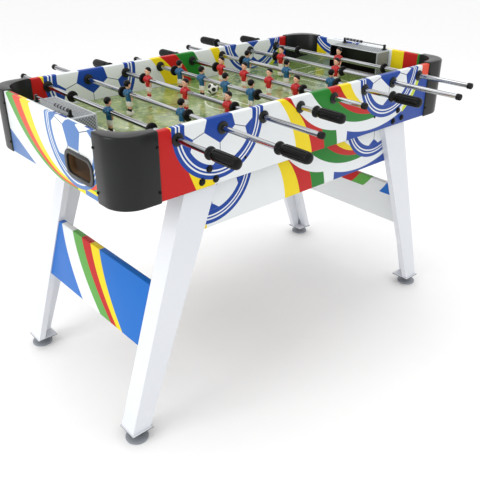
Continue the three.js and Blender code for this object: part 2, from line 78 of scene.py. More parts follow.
# ---- what the frame says -------------------------------------------------------------------
LINE = ((1, 0.0), (2, 0.234), (3, 0.175), (4, 0.105))  # players and the distance between them
LINEUP = LINE + LINE[::-1]
RODS = range(1, len(LINEUP) + 1)
AXLE = {k: joint_place(f"rod_{k}_spin") for k in RODS}
HANDLE_SIDE = {k: int(math.copysign(1, middle(f"rod_{k}_handle").y)) for k in RODS}
HALF_LENGTH = 0.584                                    # outer faces of the cabinet
HALF_WIDTH = 0.305
BOARD = 0.016
PANEL_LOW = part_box("left_end_panel")[0].z
PANEL_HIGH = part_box("left_end_panel")[1].z
SIDE_END = HALF_LENGTH - 0.062                         # where the side boards stop
FIELD_TOP = 0.713
LEG_SLOPE = 0.316                                      # how far the legs lean out for each metre down
THROUGH = 0.01                                         # how far a cutting tool runs past a piece


# ---- sizes and colours ---------------------------------------------------------------------
def length(name, description, default):
    return bpy.props.FloatProperty(name=name, description=description, default=default,
                                   min=0.0, unit="LENGTH")


def colour(name, description, default):
    return bpy.props.FloatVectorProperty(name=name, description=description, default=default,
                                         size=3, min=0.0, max=1.0, subtype="COLOR_GAMMA")


class PrintColours(bpy.types.PropertyGroup):
    """Inks of the printed boards."""
    blue: colour("Blue", "Balls, rings and corner fields", (0.05, 0.25, 0.60))
    sky: colour("Sky", "Blue of the end boards and stretchers", (0.10, 0.42, 0.76))
    red: colour("Red", "Red bands", (0.74, 0.06, 0.04))
    # orange is also the red of the end boards' outer faces, laid lighter as painted light
    orange: colour("Orange", "Orange-red stripe and patch", (0.88, 0.28, 0.17))
    yellow: colour("Yellow", "Yellow bands", (0.93, 0.83, 0.05))
    # painted light: the blue of the end boards' outer faces, laid paler where the light falls
    lit_blue: colour("Lit blue", "Pale blue of the end boards' outer faces", (0.36, 0.50, 0.72))
    green: colour("Green", "Green bands of the side boards", (0.09, 0.48, 0.13))
    # leaf is also the green of the end boards' outer faces, laid lighter as painted light
    leaf: colour("Leaf", "Green stripes of the end boards and stretchers", (0.36, 0.64, 0.27))
    lime: colour("Lime", "Yellow-green stripe", (0.78, 0.84, 0.22))
    white: colour("White", "Ground of the print", (0.90, 0.915, 0.92))
    seam: colour("Seam", "Seams of the printed balls", (0.10, 0.15, 0.35))
    # painted shadow: a dark line along the side boards' lower edge, laid as an ink
    painted_shadow_edge: colour("Painted shadow edge", "Painted shadow along the lower edge of the side boards", (0.16, 0.15, 0.15))


class TeamColours(bpy.types.PropertyGroup):
    """Paint of the players."""
    blue_shirt: colour("Blue shirt", "Shirt of the team with the front handles", (0.04, 0.34, 0.50))
    red_shirt: colour("Red shirt", "Shirt of the team with the back handles", (0.72, 0.05, 0.07))
    skin: colour("Skin", "Face, arms and legs", (0.93, 0.72, 0.60))
    hair: colour("Hair", "Hair and eyes", (0.025, 0.02, 0.02))
    kit: colour("Kit white", "Shorts, socks and shoe block", (0.93, 0.92, 0.88))


class FittingSizes(bpy.types.PropertyGroup):
    """Fittings that the frame only outlines."""
    rod_radius: length("Rod radius", "Outside radius of the steel tube", 0.00635)
    bore: length("Bore", "Radius of every hole that a rod runs in", 0.0069)
    bearing_flange: length("Bearing flange", "Radius of a bearing's flange", 0.015)
    bumper_radius: length("Bumper radius", "Radius of the rubber bumper ring", 0.0145)
    cap_radius: length("Cap radius", "Radius of the caps on the bare rod ends", 0.0083)
    screw_radius: length("Screw radius", "Radius of the small screw heads", 0.0035)
    bolt_radius: length("Bolt radius", "Radius of the leg bolts' heads", 0.007)
    board_edge: length("Board edge", "Rounding of the boards' edges", 0.0006)


def sizes():
    return bpy.context.scene.football_fittings


def inks():
    return bpy.context.scene.football_inks


def teams():
    return bpy.context.scene.football_teams


# ---- shader maths --------------------------------------------------------------------------
class Wire:
    """A socket that carries a number; an expression on it adds its Math nodes."""

    def __init__(self, graph, socket):
        self.graph = graph
        self.socket = socket

    def math(self, operation, *others, clamp=False):
        inputs = dict(enumerate((self, *others)))
        node = self.graph.node("ShaderNodeMath", {"operation": operation, "use_clamp": clamp}, inputs)
        return Wire(self.graph, node.outputs[0])

    def __add__(self, other):
        return self.math("ADD", other)

    __radd__ = __add__

    def __mul__(self, other):
        return self.math("MULTIPLY", other)

    __rmul__ = __mul__

    def __sub__(self, other):
        return self.math("SUBTRACT", other)

    def __rsub__(self, other):
        return (self * -1.0) + other

    def __abs__(self):
        return self.math("ABSOLUTE")

    def above(self, limit, blur=0.0005):
        """1 where the number is above the limit, with a soft step of that width."""
        return self.math("MULTIPLY_ADD", 1 / blur, 0.5 - limit / blur, clamp=True)

    def below(self, limit, blur=0.0005):
        """1 where the number is below the limit, with a soft step of that width."""
        return self.math("MULTIPLY_ADD", -1 / blur, 0.5 + limit / blur, clamp=True)


class Graph:
    """The nodes of one material round its Principled shader."""

    def __init__(self, name):
        self.material = bpy.data.materials.new(name)
        self.material.use_nodes = True
        self.tree = self.material.node_tree
        self.tree.nodes.clear()
        self.shader = self.node("ShaderNodeBsdfPrincipled")
        self.node("ShaderNodeOutputMaterial", inputs={"Surface": self.shader.outputs[0]})
        self.coords = self.node("ShaderNodeTexCoord").outputs["Object"]
        self.x, self.y, self.z = self.split(self.coords)

    def node(self, kind, settings=None, inputs=None):
        node = self.tree.nodes.new(kind)
        for key, value in (settings or {}).items():
            setattr(node, key, value)
        for key, value in (inputs or {}).items():
            self.feed(node.inputs[key], value)
        return node

    def feed(self, socket, value):
        source = value.socket if isinstance(value, Wire) else value
        if isinstance(source, bpy.types.NodeSocket):
            self.tree.links.new(source, socket)
        elif socket.type == "RGBA":
            socket.default_value = (*source[:3], 1.0)
        else:
            socket.default_value = source

    def split(self, vector):
        parts = self.node("ShaderNodeSeparateXYZ", inputs={0: vector})
        return [Wire(self, parts.outputs[i]) for i in range(3)]

    def flat(self, u, v):
        """A point on a board's face, from two of its coordinates."""
        return self.node("ShaderNodeCombineXYZ", inputs={0: u, 1: v}).outputs[0]

    def distance(self, vector, centre):
        node = self.node("ShaderNodeVectorMath", {"operation": "DISTANCE"},
                         {0: vector, 1: Vector((*centre, 0.0))})
        return Wire(self, node.outputs["Value"])

    def noise(self, scale, detail=2.0, vector=None):
        node = self.node("ShaderNodeTexNoise",
                         inputs={"Vector": vector or self.coords, "Scale": scale, "Detail": detail})
        return Wire(self, node.outputs[0])

    def mix(self, under, over, mask):
        node = self.node("ShaderNodeMix", {"data_type": "RGBA"}, {0: mask, 6: under, 7: over})
        return node.outputs[2]

    def bump(self, height, strength, depth):
        node = self.node("ShaderNodeBump",
                         inputs={"Strength": strength, "Distance": depth, "Height": height})
        return node.outputs[0]

    def finish(self, **sockets):
        names = {"color": "Base Color", "roughness": "Roughness", "metallic": "Metallic",
                 "normal": "Normal", "coat": "Coat Weight", "coat_roughness": "Coat Roughness",
                 "shine": "Specular IOR Level"}
        for key, value in sockets.items():
            self.feed(self.shader.inputs[names[key]], value)
        return self.material


def linear(shade):
    """A screen colour as a shader colour."""
    return tuple(((c + 0.055) / 1.055) ** 2.4 if c > 0.04045 else c / 12.92 for c in shade)


class Canvas:
    """A face painted in layers, each through a mask."""

    def __init__(self, graph, ground):
        self.graph = graph
        self.colour = linear(ground)
        self.point = None

    def spread(self, across, up):
        """Lays the face out on two of its coordinates."""
        self.point = self.graph.flat(across, up)

    def circle(self, across, up):
        """The distance from a place on the face."""
        return self.graph.distance(self.point, (across, up))

    def lay(self, shade, mask):
        """One layer of a screen colour, or of the ink with that name."""
        tone = getattr(inks(), shade) if isinstance(shade, str) else shade
        self.colour = self.graph.mix(self.colour, linear(tone), mask)

    def bands(self, field, starts, mask=1.0):
        """Ink after ink, each from its start in a field onwards."""
        for start, name in starts:
            self.lay(name, field.above(start) * mask)

    def discs(self, circles, mask=1.0):
        """Ink after ink, each inside a circle of that centre and radius."""
        for centre, radius, name in circles:
            self.lay(name, self.circle(*centre).below(radius) * mask)


# ---- printed boards ------------------------------------------------------------------------
BALL_RINGS = ((1.0, "ink"), (0.925, "white"), (0.895, "ink"), (0.86, "white"), (0.83, "ink"))
BALL_RIM = ((0.138, "lime"), (0.151, "blue"))  # bands beyond the right ball
FIFTH = math.radians(36)                  # half of the angle between two corners of a pentagon
LEATHER = 0.74                            # share of a ball's radius that is leather
OUTER_PATCH = 0.60                        # share at which the five outer pentagons start
PATCH_FLARE = 1.376                       # how fast those widen outwards
SEAM = 0.0009                             # half the width of a printed seam
SHADOW_STRIP = 0.0009                       # height of the painted shadow along a side board's lower edge
RAIL_DROP = 0.128                         # how much higher in the print a lower rail is cut


def football(canvas, centre, radius, upright, ink, pentagon=0.36):
    """A printed ball: rings of ink, white leather, a pentagon in the middle and five beyond it."""
    reach = canvas.circle(*centre)
    for share, name in BALL_RINGS:
        canvas.lay(ink if name == "ink" else name, reach.below(radius * share))
    across, up, _ = canvas.graph.split(canvas.point)
    angle = (across - centre[0]).math("ARCTAN2", (up - centre[1]) * upright)
    folded = angle.math("PINGPONG", FIFTH)
    along = reach * folded.math("COSINE")
    beside = reach * folded.math("SINE")
    on_ball = reach.below(radius * LEATHER)
    canvas.lay("white", on_ball)
    corner = radius * pentagon
    canvas.lay("seam", beside.below(SEAM) * along.above(corner) * on_ball)
    patch = (along - radius * OUTER_PATCH) * PATCH_FLARE - beside
    canvas.lay(ink, patch.above(0.0) * on_ball)
    edge = reach * (FIFTH - folded).math("COSINE")
    canvas.lay(ink, edge.below(corner * math.cos(FIFTH)))


def left_corner(canvas, x, z):
    """The yellow and red field at the left end of both side boards."""
    canvas.lay("yellow", x.below(-0.335))
    canvas.lay("red", (x + 0.41 * (z - 0.644)).below(-0.388))


def side_print(canvas, x, z):
    """The long print of a side board: two balls, bands of colour and white swooshes."""
    canvas.spread(x, z)
    left_corner(canvas, x, z)
    past_left = x.above(-0.2)
    canvas.lay("yellow", canvas.circle(-0.32, 0.63).above(0.252) * past_left)
    fan = ((0.243, "red"), (0.291, "green"), (0.341, "white"))
    canvas.bands(canvas.circle(-0.25, 0.60), fan, past_left)
    canvas.lay("white", canvas.circle(0.115, 0.93).below(0.247) * x.above(-0.15))
    canvas.lay("blue", canvas.circle(0.235, 1.0).above(0.345) * x.above(0.126))
    swooshes = (((0.21, 0.985), 0.298, "green"), ((0.24, 0.95), 0.248, "red"),
                ((0.24, 0.90), 0.185, "yellow"), ((0.26, 0.87), 0.152, "white"))
    canvas.discs(swooshes, x.below(0.30))
    left_ball, right_ball, radius = (-0.318, 0.788), (0.297, 0.81), 0.131
    canvas.bands(canvas.circle(*right_ball), BALL_RIM, x.above(0.37))
    canvas.lay("white", z.above(0.766) * x.above(0.40))
    canvas.lay("orange", z.above(0.770) * x.above(0.448))
    football(canvas, left_ball, radius, -1, "blue")
    football(canvas, right_ball, radius, -1, "blue")
    # painted shadow: a dark strip along the board's lower edge
    canvas.lay("painted_shadow_edge", z.below(PANEL_LOW + SHADOW_STRIP))


def back_print(canvas, x, z):
    """The print of the back board: the same balls with the whole fan of bands between them."""
    canvas.spread(x, z)
    left_corner(canvas, x, z)
    past_left = x.above(-0.15)
    canvas.lay("yellow", canvas.circle(-0.282, 0.63).above(0.252) * past_left)
    fan = ((0.252, "red"), (0.291, "green"), (0.345, "white"), (0.402, "yellow"), (0.432, "white"))
    canvas.bands(canvas.circle(-0.212, 0.60), fan, past_left)
    left_ball, left_radius = (-0.298, 0.785), 0.146
    right_ball, right_radius = (0.325, 0.83), 0.131
    canvas.bands(canvas.circle(*right_ball), BALL_RIM, x.above(0.39))
    canvas.lay("red", z.above(0.770) * x.above(0.450))
    football(canvas, left_ball, left_radius, -1, "blue")
    football(canvas, right_ball, right_radius, -1, "blue")
    # painted shadow: a dark strip along the board's lower edge
    canvas.lay("painted_shadow_edge", z.below(PANEL_LOW + SHADOW_STRIP))


def end_print(canvas, y, z):
    """The print of an end board: outside, stripes that fan out from one top corner, and a ball, with the
    print's blue, green and red laid paler as painted light.
    """
    canvas.spread(y, z)
    radius, pentagon = 0.125, 0.33
    # painted light: on this outer face the pale blue, the leaf green and the orange stand for the print's
    # blue, green and red where the light falls
    canvas.lay("lit_blue", (z - 0.476 * y).below(0.604))
    canvas.discs((((-0.09, 1.0), 0.358, "leaf"), ((-0.092, 0.945), 0.298, "orange"),
                  ((-0.094, 0.89), 0.238, "yellow"), ((-0.096, 0.837), 0.178, "white")))
    canvas.lay("yellow", y.below(-0.125) * z.below(0.665))
    canvas.lay("lit_blue", y.below(-0.160) * z.below(0.657))
    # painted light: the outer ball's blue is laid pale
    football(canvas, (-0.125, 0.775), radius, 1, "lit_blue", pentagon)
    outside = canvas.colour
    canvas.colour = linear(inks().white)
    canvas.bands(y, ((0.108, "yellow"), (0.154, "red"), (0.205, "green")))
    canvas.lay("red", y.below(-0.196))
    canvas.lay("yellow", (y - 0.5 * z).below(-0.545))
    football(canvas, (-0.132, 0.872), radius, 1, "blue", pentagon)
    inner_face = abs(canvas.graph.x).below(HALF_LENGTH - BOARD / 2)
    canvas.colour = canvas.graph.mix(outside, canvas.colour, inner_face)


def stretcher_print(canvas, y, z):
    """The stripes of an end stretcher, leaning from its top towards the middle."""
    low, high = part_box("end_stretcher_left")
    down = (high.z - z) * (1 / (high.z - low.z))
    bow = down * 0.6 + down * down * 0.4
    for top, bottom, name in ((0.217, 0.043, "white"), (0.154, -0.051, "leaf"), (0.103, -0.106, "red"),
                              (0.055, -0.134, "yellow"), (0.008, -0.160, "sky")):
        canvas.lay(name, (y + bow * (top - bottom)).below(top))


def printed(name, paint, drop=0.0, end=0):
    """A foil-wrapped board: the print, a fine satin grain and a trace of handling."""
    graph = Graph(name)
    leaning = paint is stretcher_print
    canvas = Canvas(graph, inks().sky if leaning else inks().white)
    if end:
        paint(canvas, graph.y * -end, graph.z)
    else:
        paint(canvas, graph.x, graph.z + drop)
    if leaning:
        low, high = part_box("end_stretcher_right")
        face_depth, top_band = 0.004, 0.045
        lean = graph.x * end + graph.z * LEG_SLOPE
        inner_face = lean.below(low.x + high.z * LEG_SLOPE + face_depth)
        canvas.lay("white", inner_face * graph.z.below(high.z - top_band))
    grain = graph.noise(900.0, 3.0)
    smudge = graph.noise(7.0, 3.0)
    canvas.lay((0.45, 0.45, 0.47), smudge.above(0.50, 0.5) * 0.05)
    return graph.finish(color=canvas.colour, roughness=0.30 + smudge * 0.14, shine=0.22,
                        normal=graph.bump(grain, 0.04, 0.0004))


def plain(name, shade, roughness, grain=400.0, strength=0.15, metallic=0.0, coat=0.0, speck=0.08,
          shine=0.35):
    """A moulded or painted finish with slight changes of tone, gloss and texture."""
    graph = Graph(name)
    cloud = graph.noise(18.0, 4.0)
    fine = graph.noise(grain, 3.0)
    canvas = Canvas(graph, shade)
    canvas.lay(tuple(c * (1 - 2 * speck) for c in shade), cloud.above(0.5, 0.6))
    return graph.finish(color=canvas.colour, roughness=roughness + (cloud - 0.5) * 0.12,
                        metallic=metallic, coat=coat, coat_roughness=0.15, shine=shine,
                        normal=graph.bump(fine, strength, 0.0003))


def white_foil():
    """White foil of the legs, with the steel foot plate and the bolt heads told by place."""
    graph = Graph("white_foil")
    plate_top, bolt_face = 0.0303, 0.3048
    cloud = graph.noise(6.0, 3.0)
    fine = graph.noise(700.0, 2.0)
    canvas = Canvas(graph, (0.89, 0.90, 0.92))
    canvas.lay((0.80, 0.82, 0.85), cloud.above(0.5, 0.8) * 0.35)
    plate = graph.z.below(plate_top)
    canvas.lay((0.30, 0.30, 0.31), plate)
    canvas.lay((0.05, 0.05, 0.055), abs(graph.y).above(bolt_face))
    return graph.finish(color=canvas.colour, roughness=0.33 + cloud * 0.12, metallic=plate * 0.8,
                        normal=graph.bump(fine, 0.05, 0.0003))


def chrome():
    """Chromed steel tube with faint drawn marks along it."""
    graph = Graph("chromed_tube")
    drawn = graph.node("ShaderNodeMapping", inputs={"Vector": graph.coords, "Scale": (330.0, 5.0, 330.0)})
    marks = graph.noise(1.0, 2.0, drawn.outputs[0])
    canvas = Canvas(graph, (0.80, 0.81, 0.82))
    canvas.lay((0.46, 0.46, 0.48), marks.above(0.5, 0.16))
    return graph.finish(color=canvas.colour, roughness=0.08 + marks * 0.12, metallic=1.0,
                        normal=graph.bump(marks, 0.03, 0.0002))


def pitch_print():
    """The playing surface: a worn green pitch with pale lines under a glossy varnish, with painted shade
    towards the +x end and on the raised ends.
    """
    graph = Graph("pitch_print")
    x, y = graph.x, graph.y
    stripes = 8.07                        # pale and dark stripes in each metre
    line, width, worn = (0.90, 0.92, 0.84), 0.0025, 0.8
    ring, spot, spot_size = 0.092, 0.37, 0.005
    boxes = ((0.335, 0.175), (0.420, 0.115))   # front edge and half width of the two areas
    ramp_start, ramp_low = 0.5016, 0.7135
    board_face = 0.7115
    large = graph.noise(9.0, 5.0)
    small = graph.noise(60.0, 5.0)
    canvas = Canvas(graph, (0.52, 0.60, 0.36))
    canvas.spread(x, y)
    canvas.lay((0.62, 0.68, 0.46), (x * stripes).math("PINGPONG", 1.0).above(0.5, 0.05) * 0.5)
    canvas.lay((0.37, 0.47, 0.22), large.above(0.52, 0.16) * 0.75)
    canvas.lay((0.72, 0.74, 0.45), small.above(0.56, 0.12) * 0.55)
    # painted shade: the green darkens towards the +x end
    canvas.lay((0.33, 0.47, 0.18), x.above(0.36, 0.3) * 0.6)
    across, along = abs(y), abs(x)
    canvas.lay(line, along.below(width) * worn)
    canvas.lay(line, abs(canvas.circle(0.0, 0.0) - ring).below(width) * worn)
    for reach, half in boxes:
        box = (along - reach).math("MINIMUM", half - across)
        canvas.lay(line, abs(box).below(width) * worn)
    for sign in SIGNS:
        canvas.lay(line, canvas.circle(sign * spot, 0.0).below(spot_size) * worn)
    # painted shade: darker grey-green on the raised ends of the pitch, beside and under the goal boxes
    canvas.lay((0.30, 0.36, 0.28), along.above(ramp_start) * graph.z.above(ramp_low) * 0.85)
    under = graph.z.below(board_face)
    canvas.lay((0.50, 0.38, 0.26), under)
    return graph.finish(color=canvas.colour, roughness=0.16 + small * 0.12 + under * 0.4, coat=0.5,
                        coat_roughness=0.06, normal=graph.bump(small, 0.03, 0.0004))


def net_print():
    """Grey goal moulding: curved threads on the roof, zigzag threads on the ends, pale edges, and painted
    shade inside the box.
    """
    graph = Graph("net_print")
    x, y, z = graph.x, graph.y, graph.z
    end_face, rim, front, roof = 0.0972, 0.0945, 0.5075, 0.7965
    canvas = Canvas(graph, (0.27, 0.29, 0.30))
    cloud = graph.noise(14.0, 3.0)
    canvas.lay((0.13, 0.14, 0.16), cloud.above(0.5, 0.25) * 0.7)
    out, across = abs(x), abs(y)
    bow = (out - 0.47) * (out - 0.47) * 3.2
    for slope, pitch in ((bow, 170.0), (out * -0.55, 130.0)):
        threads = ((y + slope) * pitch).math("PINGPONG", 0.5)
        canvas.lay((0.78, 0.80, 0.81), threads.below(0.08, 0.06) * 0.85)
    ends = across.above(end_face)
    side, other = (((out + way) * 130.0).math("PINGPONG", 0.5).below(0.12, 0.08) for way in (z, z * -1.0))
    canvas.lay((0.66, 0.68, 0.69), ends)
    canvas.lay((0.24, 0.25, 0.27), ends * side.math("MAXIMUM", other))
    frame_edge = out.below(front).math("MAXIMUM", across.above(rim) * z.above(roof - 0.002))
    canvas.lay((0.72, 0.74, 0.75), frame_edge * z.above(roof).math("MAXIMUM", ends))
    # painted shade: the inside of the box, under its roof, is laid near black
    canvas.lay((0.03, 0.03, 0.03), across.below(0.0965) * z.below(roof))
    return graph.finish(color=canvas.colour, roughness=0.30 + cloud * 0.15,
                        normal=graph.bump(cloud, 0.05, 0.0005))


def return_plastic():
    """Black moulding of the ball return, brown board showing inside it."""
    graph = Graph("return_plastic")
    bezel_back = 0.5815
    fine = graph.noise(500.0, 3.0)
    cloud = graph.noise(25.0, 3.0)
    canvas = Canvas(graph, (0.07, 0.07, 0.075))
    inside = abs(graph.x).below(bezel_back, 0.002)
    canvas.lay((0.42, 0.30, 0.17), inside * (0.55 + cloud * 0.5))
    return graph.finish(color=canvas.colour, roughness=0.34 + inside * 0.3,
                        normal=graph.bump(fine, 0.2, 0.0003))


def ball_skin(centre):
    """A hard white ball with a round black spot at each of twelve even places."""
    graph = Graph("ball_skin")
    moved = graph.node("ShaderNodeVectorMath", {"operation": "SUBTRACT"}, {0: graph.coords, 1: centre})
    unit = graph.node("ShaderNodeVectorMath", {"operation": "NORMALIZE"}, {0: moved.outputs[0]})
    x, y, z = (abs(part) for part in graph.split(unit.outputs[0]))
    golden = (1 + math.sqrt(5)) / 2
    size = math.hypot(1, golden)
    a, b = 1 / size, golden / size
    near = (y * a + z * b).math("MAXIMUM", x * b + z * a).math("MAXIMUM", x * a + y * b)
    spots = near.above(0.925, 0.01)
    canvas = Canvas(graph, (0.93, 0.93, 0.91))
    canvas.lay((0.04, 0.05, 0.08), spots)
    wear = graph.noise(160.0, 3.0)
    canvas.lay((0.80, 0.80, 0.78), wear.above(0.60, 0.1) * (1 - spots) * 0.5)
    return graph.finish(color=canvas.colour, roughness=0.22 + wear * 0.1,
                        normal=graph.bump(wear, 0.05, 0.0003))


# ---- modelling tools -----------------------------------------------------------------------
def deselect():
    for obj in list(bpy.context.selected_objects):
        obj.select_set(False)


def only(obj):
    deselect()
    obj.select_set(True)
    bpy.context.view_layer.objects.active = obj


def settle(obj):
    """Puts an object's place, turn and size into its mesh."""
    only(obj)
    bpy.ops.object.transform_apply(location=True, rotation=True, scale=True)
    return obj


def apply_modifier(obj, modifier):
    only(obj)
    bpy.ops.object.modifier_apply(modifier=modifier.name)


def soften(obj, width, segments=2, angle=30):
    """Rounds the edges that are sharper than an angle."""
    modifier = obj.modifiers.new("edges", "BEVEL")
    modifier.width = width
    modifier.segments = segments
    modifier.limit_method = "ANGLE"
    modifier.angle_limit = math.radians(angle)
    apply_modifier(obj, modifier)
    return obj


def carve(obj, tool):
    """Cuts a tool's shape out of a piece and throws the tool away."""
    modifier = obj.modifiers.new("cut", "BOOLEAN")
    modifier.object = tool
    modifier.operation = "DIFFERENCE"
    modifier.solver = "EXACT"
    apply_modifier(obj, modifier)
    bpy.data.objects.remove(tool)
    return obj


def block(low, high):
    """A cube stretched between two corners."""
    deselect()
    low, high = Vector(low), Vector(high)
    bpy.ops.mesh.primitive_cube_add(size=1, location=(low + high) / 2, scale=high - low)
    return settle(bpy.context.object)


def loft(sections, sides=24, hollow=False):
    """Rings extruded one from the last; a section is x, y, z and its two half widths."""
    deselect()
    x, y, z, across, deep = sections[0]
    bpy.ops.mesh.primitive_circle_add(vertices=sides, radius=1, location=(x, y, z),
                                      fill_type="NOTHING" if hollow else "NGON")
    made = bpy.context.object
    made.scale = (across, deep, 1)
    settle(made)
    bpy.ops.object.mode_set(mode="EDIT")
    bpy.ops.mesh.select_all(action="SELECT")
    for before, after in zip(sections, sections[1:]):
        step = Vector(after[:3]) - Vector(before[:3])
        bpy.ops.mesh.extrude_region_move(TRANSFORM_OT_translate={"value": step})
        bpy.ops.transform.resize(value=(after[3] / before[3], after[4] / before[4], 1),
                                 center_override=after[:3])
    bpy.ops.mesh.select_all(action="SELECT")
    bpy.ops.mesh.remove_doubles(threshold=1e-6)
    bpy.ops.mesh.normals_make_consistent(inside=False)
    bpy.ops.object.mode_set(mode="OBJECT")
    return made


def turned(profile, sides=28, hollow=False):
    """A turned piece round Z, from pairs of radius and height."""
    rings = [(0, 0, height, radius, radius) for radius, height in profile]
    if hollow:
        rings.append(rings[0])
    return loft(rings, sides, hollow)


def globe(centre, half, segments=16, rings=10):
    deselect()
    bpy.ops.mesh.primitive_uv_sphere_add(segments=segments, ring_count=rings, radius=1,
                                         location=centre)
    made = bpy.context.object
    made.scale = half
    return settle(made)


def coat(obj, material):
    obj.data.materials.clear()
    obj.data.materials.append(material)
    return obj


def joined(objects):
    deselect()
    for obj in objects:
        obj.select_set(True)
    bpy.context.view_layer.objects.active = objects[0]
    bpy.ops.object.join()
    return bpy.context.object


def refined(node, width):
    """A CAD board's shape with its edges rounded."""
    obj = bpy.data.objects.new(f"{node}_board", frame["nodes"][node].data.copy())
    bpy.context.scene.collection.objects.link(obj)
    only(obj)
    bpy.ops.object.mode_set(mode="EDIT")
    bpy.ops.mesh.select_all(action="SELECT")
    bpy.ops.mesh.remove_doubles(threshold=1e-5)
    bpy.ops.mesh.dissolve_limited(angle_limit=math.radians(0.5))
    bpy.ops.object.mode_set(mode="OBJECT")
    return soften(obj, width)


ALONG_Y = {-1: Matrix.Rotation(math.radians(90), 4, "X"), 1: Matrix.Rotation(math.radians(-90), 4, "X")}


def copy_of(source, matrix):
    """A copy with a mesh of its own, moved by a matrix."""
    twin = bpy.data.objects.new(source.name, source.data.copy())
    bpy.context.scene.collection.objects.link(twin)
    twin.data.transform(matrix)
    if matrix.determinant() < 0:
        twin.data.flip_normals()
    return twin


def piece(obj, name, body, material=None, replaces=(), angle=35):
    """Names a finished piece and hands it to its body."""
    only(obj)
    bpy.ops.object.shade_smooth_by_angle(angle=math.radians(angle))
    obj.name = name
    obj.data.name = name
    if material:
        coat(obj, material)
    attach(obj, body)
    if replaces:
        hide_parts(*replaces)
    return obj


def shared(name, shade, roughness, **options):
    """A plain finish made once and then used again."""
    return bpy.data.materials.get(name) or plain(name, shade, roughness, **options)


def black_plastic():
    return shared("moulded_black", (0.075, 0.085, 0.08), 0.30, grain=900.0, shine=0.3)


def grip_plastic():
    return shared("grip_black", (0.02, 0.025, 0.025), 0.30, grain=1200.0, shine=0.18)


def soft_rubber():
    return shared("soft_rubber", (0.04, 0.04, 0.045), 0.5, grain=700.0, strength=0.2, shine=0.2)


def zinc():
    return shared("zinc_plate", (0.62, 0.63, 0.66), 0.28, metallic=1.0)


def black_steel():
    return shared("black_steel", (0.10, 0.10, 0.11), 0.3, metallic=0.6)


# ---- operators -----------------------------------------------------------------------------
class FOOTBALL_OT_stage(bpy.types.Operator):
    """Floor, soft lights and camera"""
    bl_idname = "football.stage"
    bl_label = "Stage"

    floor_size = 90
    floor_level = -0.0002
    lamps = (("key", (-3.4, 0.2, 1.9), 1.6, 34), ("top", (0.2, 0.4, 3.6), 2.2, 26))
    aim = Vector((0, 0, 0.6))
    camera_place = (-1.16843, -1.33760, 1.20223)
    camera_way = Vector((0.58435, 0.66335, -0.46744))
    camera_lens = 46.97

    def execute(self, context):
        deselect()
        bpy.ops.mesh.primitive_plane_add(size=self.floor_size, location=(0, 0, self.floor_level))
        floor = settle(context.object)
        floor.name = "floor"
        coat(floor, plain("studio_floor", (0.985, 0.985, 0.985), 0.6, speck=0.004, shine=0.1))
        world = bpy.data.worlds.new("studio")
        context.scene.world = world
        world.use_nodes = True
        background = world.node_tree.nodes["Background"]
        background.inputs["Color"].default_value = (1.0, 1.0, 1.0, 1.0)
        background.inputs["Strength"].default_value = 1.0
        for name, place, size, power in self.lamps:
            lamp = bpy.data.lights.new(name, "AREA")
            lamp.size = size
            lamp.energy = power
            light = bpy.data.objects.new(name, lamp)
            context.scene.collection.objects.link(light)
            light.location = place
            light.rotation_euler = (self.aim - light.location).to_track_quat("-Z", "Y").to_euler()
        camera = bpy.data.objects.new("camera", bpy.data.cameras.new("camera"))
        context.scene.collection.objects.link(camera)
        camera.data.sensor_width = 36.0
        camera.data.lens = self.camera_lens
        camera.location = self.camera_place
        camera.rotation_euler = self.camera_way.to_track_quat("-Z", "Y").to_euler()
        context.scene.camera = camera
        context.scene.view_settings.view_transform = "Standard"
        return {"FINISHED"}


class FOOTBALL_OT_boards(bpy.types.Operator):
    """Printed side boards, end boards, stretchers and lower rails"""
    bl_idname = "football.boards"
    bl_label = "Printed boards"

    seat = 0.0112                         # radius of the hole that a bearing sits in

    def execute(self, context):
        edge = sizes().board_edge
        sides = {-1: printed("front_print", side_print), 1: printed("back_print", back_print)}
        rail = printed("rail_print", side_print, drop=RAIL_DROP)
        drill = turned([(self.seat, -2 * BOARD), (self.seat, 2 * BOARD)], 32)
        drill.data.transform(ALONG_Y[1])
        for sy in SIGNS:
            inner, outer = sorted((sy * (HALF_WIDTH - BOARD), sy * HALF_WIDTH))
            board = block((-SIDE_END, inner, PANEL_LOW), (SIDE_END, outer, PANEL_HIGH))
            soften(board, 0.003, 3, 80)
            holes = [copy_of(drill, Matrix.Translation((AXLE[k].x, sy * HALF_WIDTH, AXLE[k].z)))
                     for k in RODS]
            carve(board, joined(holes))
            piece(board, f"{SIDES[sy]}_side_board", "cabinet", sides[sy],
                  (f"{SIDES[sy]}_panel",))
            lower = refined(f"lower_rail_{SIDES[sy]}", edge)
            piece(lower, f"{SIDES[sy]}_lower_board", "cabinet", rail,
                  (f"lower_rail_{SIDES[sy]}",))
        for sx in SIGNS:
            name = ENDS[sx]
            board = refined(f"{name}_end_panel", edge)
            piece(board, f"{name}_end_board", "cabinet",
                  printed(f"{name}_end_print", end_print, end=sx), (f"{name}_end_panel",))
            stretcher = refined(f"end_stretcher_{name}", edge)
            piece(stretcher, f"{name}_stretcher_board", "cabinet",
                  printed(f"{name}_stretcher_print", stretcher_print, end=sx),
                  (f"end_stretcher_{name}",))
        bpy.data.objects.remove(drill)
        return {"FINISHED"}


